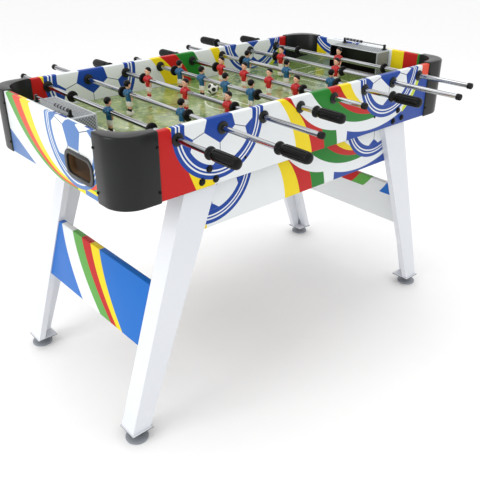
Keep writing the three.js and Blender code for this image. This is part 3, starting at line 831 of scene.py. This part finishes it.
class FOOTBALL_OT_corner_caps(bpy.types.Operator):
    """Moulded corner caps, hollow under their roof"""
    bl_idname = "football.corner_caps"
    bl_label = "Corner caps"

    side_run = 0.103
    end_run = 0.090
    proud = 0.003
    radius = 0.062
    inner = 0.020
    shoulder = 0.005
    wall = 0.004
    roof = 0.006
    gap = 0.0003                          # between the cap and the boards it stands over

    def shell(self, inset, low, high):
        """The cap's outline for the left front corner, drawn in by an inset."""
        x0, y0 = -HALF_LENGTH - self.proud + inset, -HALF_WIDTH - self.proud + inset
        x1 = -HALF_LENGTH + self.side_run - inset
        y1 = -HALF_WIDTH + self.end_run - inset
        body = block((x0, y0, low), (x1, y1, high))
        bpy.ops.object.mode_set(mode="EDIT")
        bpy.ops.mesh.select_all(action="DESELECT")
        bpy.ops.object.mode_set(mode="OBJECT")
        for line in body.data.edges:
            ends = [body.data.vertices[i].co for i in line.vertices]
            line.select = all(abs(p.x - x0) < 1e-5 and abs(p.y - y0) < 1e-5 for p in ends)
        bpy.ops.object.mode_set(mode="EDIT")
        bpy.ops.mesh.select_mode(type="EDGE")
        bpy.ops.mesh.bevel(offset=self.radius - inset, segments=14, affect="EDGES")
        bpy.ops.object.mode_set(mode="OBJECT")
        if not inset:
            soften(body, self.shoulder, 4, 60)
        centre = (-HALF_LENGTH + self.side_run, -HALF_WIDTH + self.end_run)
        reach = (self.side_run - self.inner + inset, self.end_run - self.inner + inset)
        hollow = loft([(*centre, low - THROUGH, *reach), (*centre, high + THROUGH, *reach)], 96)
        return carve(body, hollow)

    def execute(self, context):
        low, high = (corner.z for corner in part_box("corner_cap_front_left"))
        cap = self.shell(0.0, low, high)
        carve(cap, self.shell(self.wall, low - THROUGH, high - self.roof))
        gap = self.gap
        over = PANEL_HIGH + gap
        carve(cap, block((-HALF_LENGTH + self.radius, -HALF_WIDTH - gap, low - THROUGH),
                         (-HALF_LENGTH + self.side_run + THROUGH, -HALF_WIDTH + BOARD + gap, over)))
        carve(cap, block((-HALF_LENGTH - gap, -HALF_WIDTH + self.radius, low - THROUGH),
                         (-HALF_LENGTH + BOARD + gap, -HALF_WIDTH + self.end_run + THROUGH, over)))
        soften(cap, 0.0012, 3, 50)
        for sx in SIGNS:
            for sy in SIGNS:
                corner = corner_name(sx, sy)
                twin = copy_of(cap, Matrix.Diagonal((-sx, -sy, 1, 1)))
                piece(twin, f"{corner}_corner_cap", "cabinet", black_plastic(),
                      (f"corner_cap_{corner}",))
        bpy.data.objects.remove(cap)
        return {"FINISHED"}


class FOOTBALL_OT_pitch(bpy.types.Operator):
    """Playing surface with its varnished print"""
    bl_idname = "football.pitch"
    bl_label = "Pitch"

    def execute(self, context):
        coat(frame["nodes"]["playfield"], pitch_print())
        return {"FINISHED"}


class FOOTBALL_OT_goals(bpy.types.Operator):
    """Goal boxes, and the scorer's posts and wire on each"""
    bl_idname = "football.goals"
    bl_label = "Goals"

    half = 0.098
    face = 0.5033
    wall = 0.003
    roof_drop = 0.006                     # from the top of the corner caps
    gap = 0.0004                          # to the end board and the pitch
    scorer_half = 0.083
    scorer_x = 0.560
    scorer_z = 0.811
    post = 0.0035                         # half the width of a scorer's post
    wire = 0.0016

    def execute(self, context):
        back = HALF_LENGTH - BOARD - self.gap
        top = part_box("corner_cap_front_left")[1].z - self.roof_drop
        net = net_print()
        box = block((-back, -self.half, FIELD_TOP + self.gap), (-self.face, self.half, top))
        inside = self.half - self.wall
        carve(box, block((-back + self.wall, -inside, FIELD_TOP - THROUGH),
                         (-self.face + THROUGH, inside, top - self.wall)))
        soften(box, 0.0012, 3, 40)
        foot = soften(block((-self.scorer_x - 0.005, self.scorer_half - 0.006, top + 0.0001),
                            (-self.scorer_x + 0.005, self.scorer_half + 0.006, top + 0.004)), 0.0008)
        r = self.post
        post = soften(block((-self.scorer_x - r, self.scorer_half - r, top + r),
                            (-self.scorer_x + r, self.scorer_half + r, self.scorer_z + r)), 0.0012, 3)
        stand = joined([foot, post])
        wire = turned([(self.wire, -self.scorer_half), (self.wire, self.scorer_half)], 12)
        wire.data.transform(Matrix.Translation((-self.scorer_x, 0, self.scorer_z)) @ ALONG_Y[1])
        for sx in SIGNS:
            name = ENDS[sx]
            turn = Matrix.Rotation(0 if sx < 0 else math.pi, 4, "Z")
            piece(copy_of(box, turn), f"{name}_goal_box", "cabinet", net, (f"goal_{name}",))
            piece(copy_of(wire, turn), f"{name}_scorer_wire", "cabinet", zinc())
            for sy in SIGNS:
                flip = turn @ Matrix.Diagonal((1, sy, 1, 1))
                piece(copy_of(stand, flip), f"{name}_scorer_post_{SIDES[sy]}", "cabinet",
                      black_plastic())
        for source in (box, stand, wire):
            bpy.data.objects.remove(source)
        return {"FINISHED"}


class FOOTBALL_OT_scorer_beads(bpy.types.Operator):
    """Beads on each scorer wire, black and grey by turns"""
    bl_idname = "football.scorer_beads"
    bl_label = "Scorer beads"

    count = 10
    gap = 0.0002

    def execute(self, context):
        dark = plain("bead_black", (0.09, 0.09, 0.10), 0.28)
        grey = plain("bead_grey", (0.55, 0.56, 0.58), 0.3)
        for sx in SIGNS:
            body = f"score_beads_{ENDS[sx]}"
            low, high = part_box(body)
            step = (high.y - low.y) / self.count
            near, far = self.gap, step - self.gap
            for k in range(self.count):
                bead = turned([(0.0021, near), (0.0034, near), (0.0044, step * 0.28),
                               (0.0044, step * 0.72), (0.0034, far), (0.0021, far)], 20, hollow=True)
                place = Vector(((low.x + high.x) / 2, low.y + k * step, (low.z + high.z) / 2))
                bead.data.transform(Matrix.Translation(place) @ ALONG_Y[1])
                piece(bead, f"{ENDS[sx]}_score_bead_{k + 1}", body,
                      grey if k % 2 else dark, (body,) if k == 0 else ())
        return {"FINISHED"}


class FOOTBALL_OT_ball_returns(bpy.types.Operator):
    """Ball return mouldings with their rounded bezels"""
    bl_idname = "football.ball_returns"
    bl_label = "Ball returns"

    def execute(self, context):
        plastic = return_plastic()
        for sx in SIGNS:
            node = f"ball_return_{ENDS[sx]}"
            piece(refined(node, 0.0009), f"{ENDS[sx]}_return_moulding", "cabinet",
                  plastic, (node,))
        return {"FINISHED"}


class FOOTBALL_OT_legs(bpy.types.Operator):
    """Legs in white foil, levelling feet, leg bolts"""
    bl_idname = "football.legs"
    bl_label = "Legs and feet"

    bolts = ((0.350, 0.687), (0.372, 0.661), (0.332, 0.658))
    under_head = 0.0003
    thread_start, thread_pitch, turns = 0.0150, 0.0028, 13

    def execute(self, context):
        foil = white_foil()
        grey = plain("foot_plastic", (0.60, 0.62, 0.65), 0.38)
        pad = turned([(0.027, 0.0), (0.0295, 0.0008), (0.030, 0.0022), (0.0297, 0.0050),
                      (0.0265, 0.0068), (0.0170, 0.0084), (0.0100, 0.0098), (0.0092, 0.0140),
                      (0.0075, 0.0148)], 48)
        stem_rings = [(0.0042, 0.0140)]
        for k in range(self.turns):
            start = self.thread_start + k * self.thread_pitch
            stem_rings += [(0.0036, start), (0.0044, start + self.thread_pitch / 2)]
        stem_rings.append((0.0034, 0.0535))
        stem = turned(stem_rings, 20)
        bolt = self.bolt()
        for sx in SIGNS:
            for sy in SIGNS:
                corner = corner_name(sx, sy)
                coat(frame["nodes"][f"leg_{corner}"], foil)
                body = f"foot_{corner}"
                centre = middle(body)
                spot = Matrix.Translation((centre.x, centre.y, 0))
                piece(copy_of(pad, spot), f"{corner}_foot_pad", body, grey, (body,))
                piece(copy_of(stem, spot), f"{corner}_foot_stem", body, zinc())
                for k, (x, z) in enumerate(self.bolts, 1):
                    place = Matrix.Translation((sx * x, sy * (HALF_WIDTH + self.under_head), z))
                    piece(copy_of(bolt, place @ ALONG_Y[sy]), f"{corner}_leg_bolt_{k}", "cabinet",
                          black_steel())
        for source in (pad, stem, bolt):
            bpy.data.objects.remove(source)
        return {"FINISHED"}

    def bolt(self):
        """A washer, a domed head and its six-sided socket."""
        r = sizes().bolt_radius
        washer = turned([(r * 1.25, 0.0), (r * 1.3, 0.0004), (r * 1.25, 0.0012)], 32)
        head = turned([(r, 0.0012), (r, 0.0022), (r * 0.93, 0.0034), (r * 0.72, 0.0044),
                       (r * 0.45, 0.0049)], 32)
        carve(head, turned([(r * 0.36, 0.0024), (r * 0.36, 0.01)], 6))
        return joined([washer, head])


class FOOTBALL_OT_screws(bpy.types.Operator):
    """Small cross-head screws of the caps and the braces"""
    bl_idname = "football.screws"
    bl_label = "Screws"

    heights = (0.669, 0.770)              # of the two screws in each face of a cap
    on_side, on_end = 0.487, 0.221        # their distance from the middle of the table
    brace_x, brace_z = 0.242, 0.688
    proud = 0.0031

    def execute(self, context):
        r = sizes().screw_radius
        screw = turned([(r, 0.0), (r, 0.0006), (r * 0.85, 0.0015), (r * 0.5, 0.0020)], 24)
        for turn in (0, 90):
            slot = block((-r * 0.65, -0.0005, 0.0010), (r * 0.65, 0.0005, 0.004))
            slot.data.transform(Matrix.Rotation(math.radians(turn), 4, "Z"))
            carve(screw, slot)
        count = 0
        for sx in SIGNS:
            for sy in SIGNS:
                side, end = sy * (HALF_WIDTH + self.proud), sx * (HALF_LENGTH + self.proud)
                facing = Matrix.Rotation(math.radians(90 * sx), 4, "Y")
                spots = [((sx * self.on_side, side, z), ALONG_Y[sy]) for z in self.heights]
                spots += [((end, sy * self.on_end, z), facing) for z in self.heights]
                brace = (sx * self.brace_x, sy * (HALF_WIDTH + 0.0001), self.brace_z)
                spots.append((brace, ALONG_Y[sy]))
                for place, turn in spots:
                    count += 1
                    piece(copy_of(screw, Matrix.Translation(place) @ turn), f"screw_{count:02d}",
                          "cabinet", black_steel())
        bpy.data.objects.remove(screw)
        return {"FINISHED"}


class FOOTBALL_OT_rods(bpy.types.Operator):
    """Chromed rods with the rubber caps on their bare ends"""
    bl_idname = "football.rods"
    bl_label = "Rods"

    def execute(self, context):
        steel = chrome()
        radius, cap = sizes().rod_radius, sizes().cap_radius
        for k in RODS:
            side = HANDLE_SIDE[k]
            low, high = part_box(f"rod_{k}_players")
            bare, seat = (high.y, low.y) if side < 0 else (low.y, high.y)
            span = abs(bare - seat) - 0.002
            tube = turned([(radius - 0.0006, 0.0), (radius, 0.0006), (radius, span - 0.0006),
                           (radius - 0.0006, span)], 32)
            tube.data.transform(Matrix.Translation((AXLE[k].x, seat, AXLE[k].z)) @ ALONG_Y[-side])
            piece(tube, f"rod_{k}_tube", f"rod_{k}", steel, (f"rod_{k}_players",))
            end = turned([(radius + 0.0002, 0.0120), (cap - 0.0003, 0.0120), (cap, 0.0115),
                          (cap, 0.0085), (cap - 0.0004, 0.0082), (cap - 0.0004, 0.0076),
                          (cap, 0.0073), (cap, 0.0018), (cap - 0.0006, 0.0006), (cap - 0.0022, 0.0)], 32)
            end.data.transform(Matrix.Translation((AXLE[k].x, bare, AXLE[k].z)) @ ALONG_Y[side])
            piece(end, f"rod_{k}_end_cap", f"rod_{k}", soft_rubber())
        return {"FINISHED"}


class FOOTBALL_OT_bearings(bpy.types.Operator):
    """Flanged rod bearings in both side boards"""
    bl_idname = "football.bearings"
    bl_label = "Rod bearings"

    def execute(self, context):
        bore, flange = sizes().bore, sizes().bearing_flange
        barrel = 0.0110
        depth = BOARD + 0.0002
        bush = turned([(bore, -0.0045), (bore + 0.0018, -0.0045), (flange - 0.0026, -0.0034),
                       (flange - 0.0008, -0.0022), (flange - 0.0005, -0.0001), (barrel, -0.0001),
                       (barrel, depth), (flange, depth), (flange, depth + 0.0018),
                       (flange - 0.0012, depth + 0.0026), (bore + 0.0045, depth + 0.0032),
                       (bore + 0.0036, depth + 0.0040), (bore, depth + 0.0040)], 36, hollow=True)
        for sy in SIGNS:
            for k in RODS:
                place = Matrix.Translation((AXLE[k].x, sy * (HALF_WIDTH - BOARD), AXLE[k].z))
                piece(copy_of(bush, place @ ALONG_Y[sy]), f"rod_{k}_bearing_{SIDES[sy]}", "cabinet",
                      black_plastic())
        bpy.data.objects.remove(bush)
        return {"FINISHED"}


class FOOTBALL_OT_bumpers(bpy.types.Operator):
    """Rubber bumper rings on the rods"""
    bl_idname = "football.bumpers"
    bl_label = "Bumpers"

    def execute(self, context):
        r = sizes().bumper_radius
        inner = sizes().rod_radius + 0.0001
        ring = turned([(inner, -0.0040), (r - 0.0030, -0.0040), (r - 0.0008, -0.0034), (r, -0.0022),
                       (r, 0.0022), (r - 0.0008, 0.0034), (r - 0.0030, 0.0040), (inner, 0.0040)],
                      36, hollow=True)
        for k in RODS:
            for sy in SIGNS:
                node = f"rod_{k}_bumper_{SIDES[sy]}"
                place = Matrix.Translation(middle(node)) @ ALONG_Y[1]
                piece(copy_of(ring, place), f"rod_{k}_bumper_ring_{SIDES[sy]}", f"rod_{k}_slider",
                      soft_rubber(), (node,))
        bpy.data.objects.remove(ring)
        return {"FINISHED"}


class FOOTBALL_OT_handles(bpy.types.Operator):
    """Handles: a collar, a neck and a fluted grip"""
    bl_idname = "football.handles"
    bl_label = "Handles"

    def grip(self):
        """The handle along +Z from its collar, with grooves sunk along the grip."""
        profile = [(0.0068, 0.0), (0.0120, 0.0), (0.0138, 0.0010), (0.0145, 0.0030), (0.0143, 0.0056),
                   (0.0130, 0.0078), (0.0110, 0.0092), (0.0098, 0.0110), (0.0096, 0.0138),
                   (0.0110, 0.0158), (0.0124, 0.0180), (0.0130, 0.0210), (0.0131, 0.0370),
                   (0.0131, 0.0530), (0.0131, 0.0690), (0.0129, 0.0800), (0.0121, 0.0846),
                   (0.0105, 0.0878), (0.0075, 0.0896), (0.0030, 0.0900)]
        handle = turned(profile, 40)
        mesh = handle.data
        bpy.ops.object.mode_set(mode="EDIT")
        bpy.ops.mesh.select_all(action="DESELECT")
        bpy.ops.mesh.select_mode(type="FACE")
        bpy.ops.object.mode_set(mode="OBJECT")
        for face in mesh.polygons:
            column = round(math.degrees(math.atan2(face.center.y, face.center.x)) / 9 - 0.5)
            face.select = 0.0210 < face.center.z < 0.0850 and column % 4 < 2
        bpy.ops.object.mode_set(mode="EDIT")
        bpy.ops.mesh.inset(thickness=0.0005, depth=-0.0016)
        bpy.ops.object.mode_set(mode="OBJECT")
        return handle

    def execute(self, context):
        handle = self.grip()
        for k in RODS:
            node = f"rod_{k}_handle"
            side = HANDLE_SIDE[k]
            low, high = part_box(node)
            start = low.y if side > 0 else high.y
            place = Matrix.Translation((AXLE[k].x, start, AXLE[k].z)) @ ALONG_Y[side]
            piece(copy_of(handle, place), f"rod_{k}_grip", f"rod_{k}", grip_plastic(),
                  (node,), angle=40)
        bpy.data.objects.remove(handle)
        return {"FINISHED"}


class FOOTBALL_OT_players(bpy.types.Operator):
    """Twenty toy players pinned on the rods"""
    bl_idname = "football.players"
    bl_label = "Players"

    def rounded(self, low, high, edge, paint):
        return coat(soften(block([v * MM for v in low], [v * MM for v in high]), edge * MM, 3), paint)

    def limb(self, sections, paint, sides=14):
        return coat(loft([[v * MM for v in ring] for ring in sections], sides), paint)

    def bead(self, centre, half, paint, segments=12, rings=8):
        return coat(globe([v * MM for v in centre], [v * MM for v in half], segments, rings), paint)

    def figure(self, shirt, sock, skin, hair, kit, lips):
        """One player on the rod's axis, looking along +X."""
        parts = [self.rounded((-7, -7.5, -57), (9, 7.5, -46.5), 1.6, kit)]
        for side in SIGNS:
            y = side * 4.0
            parts.append(self.limb([(0.5, y, -47.5, 4.4, 3.5), (0, y, -44, 3.7, 3.4),
                                    (0, y, -40.5, 4.2, 3.8), (0, y, -39.6, 3.6, 3.3)], sock))
            parts.append(self.limb([(0, y, -40.2, 3.7, 3.4), (0, y, -36, 4.2, 3.8),
                                    (0, y, -30, 4.6, 4.1)], skin))
            parts.append(self.limb([(0, y * 1.1, -32.5, 5.6, 5.0), (0, y * 1.1, -31.8, 6.0, 5.2),
                                    (0, y * 1.05, -25, 6.3, 5.0), (0, y, -19, 6.4, 4.8)], kit, 18))
            arm = side * 11.6
            parts.append(self.limb([(0, arm * 0.93, 9.8, 2.2, 2.0), (0, arm * 0.98, 8.6, 3.6, 3.2),
                                    (0.2, arm * 1.05, 3, 3.9, 3.4), (0.5, arm * 1.1, -2.5, 3.7, 3.2)],
                                   shirt))
            parts.append(self.limb([(0.5, arm * 1.1, -2.2, 3.0, 2.6), (1.2, arm * 1.09, -8, 2.7, 2.4),
                                    (2.0, arm * 1.03, -13, 2.2, 2.0)], skin))
            parts.append(self.bead((2.4, arm * 1.0, -15.5), (2.7, 2.2, 3.3), skin))
            parts.append(self.bead((-0.6, side * 8.1, 23.6), (1.8, 1.1, 2.5), skin))
            parts.append(self.bead((8.0, side * 3.2, 25.4), (0.9, 1.3, 0.8), hair))
        parts.append(self.limb([(0, 0, -19.8, 6.6, 9.2), (0, 0, -18.6, 7.0, 9.5), (0, 0, -10, 7.4, 9.6),
                                (0, 0, -2, 7.9, 10.2), (0, 0, 5, 7.9, 11.4), (-0.2, 0, 9, 7.0, 11.0),
                                (-0.3, 0, 11.4, 5.4, 8.2), (-0.4, 0, 12.8, 4.0, 4.8)], shirt, 28))
        hub = turned([(0.0086, -0.0126), (0.0096, -0.0118), (0.0096, 0.0118), (0.0086, 0.0126)], 28)
        hub.data.transform(ALONG_Y[1])
        parts.append(coat(hub, shirt))
        parts.append(self.limb([(-0.4, 0, 11.5, 3.6, 3.6), (-0.2, 0, 16, 3.3, 3.3)], skin))
        parts.append(self.limb([(1.6, 0, 13.0, 2.6, 2.4), (1.0, 0, 14.2, 5.2, 4.6),
                                (0.4, 0, 17.5, 7.2, 6.4), (0, 0, 22, 8.3, 7.7), (-0.1, 0, 26, 8.6, 8.0),
                                (-0.3, 0, 30, 7.6, 7.0), (-0.5, 0, 32.6, 4.6, 4.2)], skin, 24))
        parts.append(self.limb([(8.2, 0, 25.6, 0.7, 0.9), (8.9, 0, 23.4, 1.2, 1.3),
                                (8.3, 0, 21.9, 1.0, 1.3)], skin, 10))
        parts.append(self.bead((7.3, 0, 18.6), (0.9, 2.0, 0.5), lips))
        hair_cap = self.bead((-0.9, 0, 26.2), (9.5, 8.9, 9.6), hair, 24, 16)
        only(hair_cap)
        bpy.ops.object.mode_set(mode="EDIT")
        bpy.ops.mesh.select_all(action="SELECT")
        bpy.ops.mesh.bisect(plane_co=(0.0040, 0, 0.0275), plane_no=(0.74, 0, -0.67), use_fill=True,
                            clear_outer=True)
        bpy.ops.object.mode_set(mode="OBJECT")
        parts.append(hair_cap)
        pin = turned([(0.0016, 0.0085), (0.0016, 0.0100), (0.0011, 0.0104)], 16)
        pin.data.transform(Matrix.Rotation(math.radians(-90), 4, "Y"))
        parts.append(coat(pin, zinc()))
        return joined(parts)

    def execute(self, context):
        team = teams()
        gloss = {"grain": 260.0, "strength": 0.08, "coat": 0.2, "speck": 0.04}
        skin = plain("player_skin", team.skin, 0.38, **gloss)
        hair = plain("player_hair", team.hair, 0.30, grain=260.0, strength=0.08, speck=0.04, shine=0.16)
        kit = plain("player_kit", team.kit, 0.36, **gloss)
        lips = plain("player_lips", (0.62, 0.25, 0.20), 0.4, **gloss)
        shirts = {-1: plain("player_blue_shirt", team.blue_shirt, 0.34, **gloss),
                  1: plain("player_red_shirt", team.red_shirt, 0.34, **gloss)}
        for side in SIGNS:
            sock = hair if side < 0 else shirts[side]
            man = self.figure(shirts[side], sock, skin, hair, kit, lips)
            facing = Matrix.Rotation(0 if side < 0 else math.pi, 4, "Z")
            for k, (count, pitch) in zip(RODS, LINEUP):
                if HANDLE_SIDE[k] != side:
                    continue
                for number in range(count):
                    along = (number - (count - 1) / 2) * pitch
                    place = Matrix.Translation(AXLE[k] + Vector((0, along, 0))) @ facing
                    piece(copy_of(man, place), f"rod_{k}_player_{number + 1}", f"rod_{k}")
            bpy.data.objects.remove(man)
        return {"FINISHED"}


class FOOTBALL_OT_ball(bpy.types.Operator):
    """The ball"""
    bl_idname = "football.ball"
    bl_label = "Ball"

    def execute(self, context):
        low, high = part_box("ball")
        centre = middle("ball")
        radius = (high.z - low.z) / 2
        deselect()
        bpy.ops.mesh.primitive_ico_sphere_add(subdivisions=4, radius=radius, location=centre)
        ball = settle(context.object)
        piece(ball, "play_ball", "ball", ball_skin(centre), ("ball",), angle=60)
        return {"FINISHED"}


OPERATORS = (
    FOOTBALL_OT_stage, FOOTBALL_OT_boards, FOOTBALL_OT_corner_caps, FOOTBALL_OT_pitch,
    FOOTBALL_OT_goals, FOOTBALL_OT_scorer_beads, FOOTBALL_OT_ball_returns, FOOTBALL_OT_legs,
    FOOTBALL_OT_screws, FOOTBALL_OT_rods, FOOTBALL_OT_bearings, FOOTBALL_OT_bumpers,
    FOOTBALL_OT_handles, FOOTBALL_OT_players, FOOTBALL_OT_ball,
)


class FOOTBALL_PT_sidebar(bpy.types.Panel):
    """Lists the table's sizes, colours and steps"""
    bl_idname = "FOOTBALL_PT_sidebar"
    bl_label = "Football table"
    bl_space_type = "VIEW_3D"
    bl_region_type = "UI"
    bl_category = "Football table"

    def draw(self, context):
        for group in (sizes(), inks(), teams()):
            for name in group.__annotations__:
                self.layout.prop(group, name)
        for step in OPERATORS:
            self.layout.operator(step.bl_idname)


GROUPS = {"football_inks": PrintColours, "football_teams": TeamColours, "football_fittings": FittingSizes}


def register():
    for name, group in GROUPS.items():
        bpy.utils.register_class(group)
        setattr(bpy.types.Scene, name, bpy.props.PointerProperty(type=group))
    for step in (*OPERATORS, FOOTBALL_PT_sidebar):
        bpy.utils.register_class(step)


def unregister():
    for step in (FOOTBALL_PT_sidebar, *reversed(OPERATORS)):
        bpy.utils.unregister_class(step)
    for name, group in GROUPS.items():
        delattr(bpy.types.Scene, name)
        bpy.utils.unregister_class(group)


def main():
    register()
    for step in OPERATORS:
        family, name = step.bl_idname.split(".")
        getattr(getattr(bpy.ops, family), name)()


if __name__ == "__main__":
    main()
